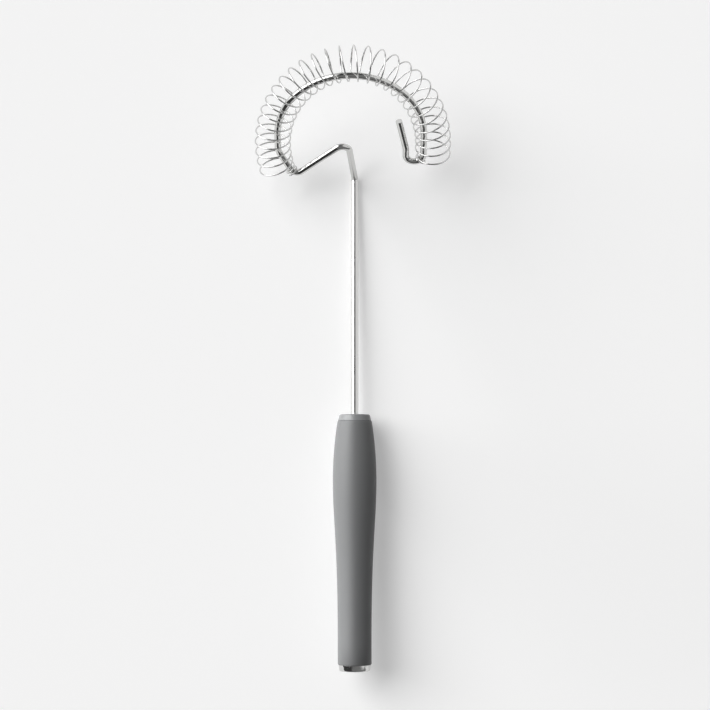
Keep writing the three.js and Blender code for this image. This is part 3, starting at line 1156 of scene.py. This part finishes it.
@dataclass
class Studio:
    """The table, the soft light from the upper left and the camera above."""

    camera_height: float = 904 * MM
    view_width: float = 320.9 * MM
    head_above_centre: float = 78.2 * MM
    aside: float = 0.15 * MM
    table_size: float = 12.0
    table_colour: Triple = (0.7, 0.7, 0.7)
    table_roughness: float = 0.9
    table_gloss: float = 0.2
    table_glow: float = 0.37
    lamps: tuple[Lamp, ...] = (
        Lamp("high_softbox", math.radians(36), math.radians(36), 26.0, 26.0, 1.44),
        Lamp("low_softbox", math.radians(10), math.radians(3), 12.0, 3.0, 0.8),
    )
    fill: float = 0.03
    walls: float = 0.05
    backdrop: float = 0.95
    patches: tuple[Patch, ...] = (
        Patch("ceiling", 0.2, (0.5, -0.25, 0.85), (0.6, 0.75)),
        Patch("board", 0.88, (1.0, 0.47, 0.45), (0.7, 0.86)),
        Patch("softbox", 3.8, (-0.85, 0.5, 0.5), (0.78, 0.9)),
        Patch("foot_of_backdrop", 0.95, (0.0, 0.0, -1.0), (-0.06, -0.03)),
    )

    def table(self) -> None:
        """Lay the pale table under the whisk, with a little glow that lightens the shadows on it."""
        bpy.ops.mesh.primitive_plane_add(size=self.table_size)
        table = bpy.context.object
        table.name = "table"
        surface = Surface("pale_table", self.table_colour, self.table_roughness)
        surface.set(surface.shader, Specular_IOR_Level=self.table_gloss)
        glow = surface.node("ShaderNodeEmission", Strength=surface.seen_directly() * self.table_glow)
        both = surface.node("ShaderNodeAddShader")
        surface.feed(both.inputs[0], surface.shader.outputs[0])
        surface.feed(both.inputs[1], glow.outputs[0])
        surface.set(surface.tree.nodes["Material Output"], Surface=both.outputs[0])
        table.data.materials.append(surface.material)

    def ramp_towards(self, nodes: Nodes, patch: Patch) -> bpy.types.NodeSocket:
        """Share of a patch that is seen in each direction.

        Args:
            nodes: The world's nodes.
            patch: The patch.

        Returns:
            A value that is 0 outside the patch and 1 inside.
        """
        facing = nodes.node("ShaderNodeVectorMath", {"operation": "DOT_PRODUCT"})
        nodes.feed(facing.inputs[0], nodes.node("ShaderNodeTexCoord").outputs["Generated"])
        nodes.feed(facing.inputs[1], Vector(patch.way).normalized())
        start, full = patch.edges
        ramp = nodes.node("ShaderNodeMapRange", {"interpolation_type": "SMOOTHSTEP", "label": patch.name},
                          Value=facing.outputs["Value"], From_Min=start, From_Max=full)
        return ramp.outputs["Result"]

    def room(self) -> None:
        """Set the backdrop, what metal shows of the room, and the dim fill for matt pieces.

        The camera sees the pale backdrop. Metal shows its foot just over the table, and above it the
        patches on dark walls.
        """
        world = bpy.data.worlds.new("studio")
        bpy.context.scene.world = world
        world.use_nodes = True
        nodes = Nodes(world.node_tree)
        nodes.tree.nodes.clear()
        layers = [(patch.level, self.ramp_towards(nodes, patch)) for patch in self.patches]
        layers.append((self.backdrop, nodes.node("ShaderNodeLightPath").outputs["Is Camera Ray"]))
        colour = (*[self.walls] * 3, 1.0)
        for level, share in layers:
            colour = nodes.blend(colour, (*[level] * 3, 1.0), share)
        seen = nodes.node("ShaderNodeBackground", Color=colour)
        fill = nodes.node("ShaderNodeBackground", Strength=self.fill)
        choice = nodes.node("ShaderNodeMixShader", Fac=nodes.seen_directly())
        nodes.feed(choice.inputs[1], fill.outputs[0])
        nodes.feed(choice.inputs[2], seen.outputs[0])
        nodes.node("ShaderNodeOutputWorld", Surface=choice.outputs[0])

    def camera(self, lie: Lie) -> None:
        """Hang the camera straight above, with the whisk framed as the photograph frames it.

        Args:
            lie: Where the whisk lies.
        """
        lens = bpy.data.cameras.new("camera")
        lens.sensor_fit = "HORIZONTAL"
        lens.angle = 2 * math.atan(self.view_width / 2 / self.camera_height)
        camera = bpy.data.objects.new("camera", lens)
        camera.location = (lie.mouth.x + self.aside, lie.mouth.y - self.head_above_centre, self.camera_height)
        bpy.context.scene.collection.objects.link(camera)
        bpy.context.scene.camera = camera

    def build(self, lie: Lie) -> None:
        """Set up the table, the lamps, the room and the camera.

        Args:
            lie: Where the whisk lies.
        """
        self.table()
        for lamp in self.lamps:
            lamp.hang()
        self.room()
        self.camera(lie)
        bpy.context.scene.view_settings.view_transform = "Standard"


FINISHES = {
    Slot.WIRE: Steel("polished_steel", (0.66, 0.66, 0.65), 0.09, grain=(700.0, 700.0, 700.0)),
    Slot.SPRING: Steel("spring_steel", (0.65, 0.65, 0.645), 0.11, grain=(1500.0, 1500.0, 1500.0)),
    Slot.TUBE: Steel("satin_steel", (0.74, 0.74, 0.73), 0.3, grain=(5200.0, 30.0, 5200.0),
                     grain_depth=0.004 * MM, grain_strength=0.25),
    Slot.CAP: Steel("stamped_steel", (0.68, 0.68, 0.67), 0.1, unevenness=0.04, grain=(420.0, 320.0, 420.0),
                    grain_depth=0.3 * MM, grain_strength=0.5, stain=0.1),
    Slot.CORE: Moulded("hard_grey_plastic", (0.25, 0.254, 0.258), 0.34, gloss=0.6, grain_scale=2200.0,
                       grain_depth=0.01 * MM, grain_strength=0.1, change=0.02),
    Slot.GRIP: Moulded("soft_grey_rubber", (0.187, 0.19, 0.192), 0.47, gloss=0.4, grain_scale=4200.0,
                       grain_strength=0.22, change=0.03, velvet=0.05),
}


def make_finishes(lie: Lie) -> dict[Slot, bpy.types.Material]:
    """The material of each slot, with the satin grain turned to run along the stem."""
    along = replace(FINISHES[Slot.TUBE], grain_turn=lie.angle)
    return {slot: finish.make() for slot, finish in {**FINISHES, Slot.TUBE: along}.items()}


def main() -> None:
    """Build the whisk piece by piece, set up the studio and report."""
    logging.basicConfig(level=logging.INFO, format="%(name)s: %(message)s")
    handle = Handle()
    lie = Lie.from_frame(handle.length)
    finishes = make_finishes(lie)
    head = HeadFrame()
    head.build(lie, finishes[Slot.WIRE])
    Coil().build(head, lie, finishes[Slot.SPRING])
    handle.build(lie, finishes)
    Studio().build(lie)


if __name__ == "__main__":
    main()
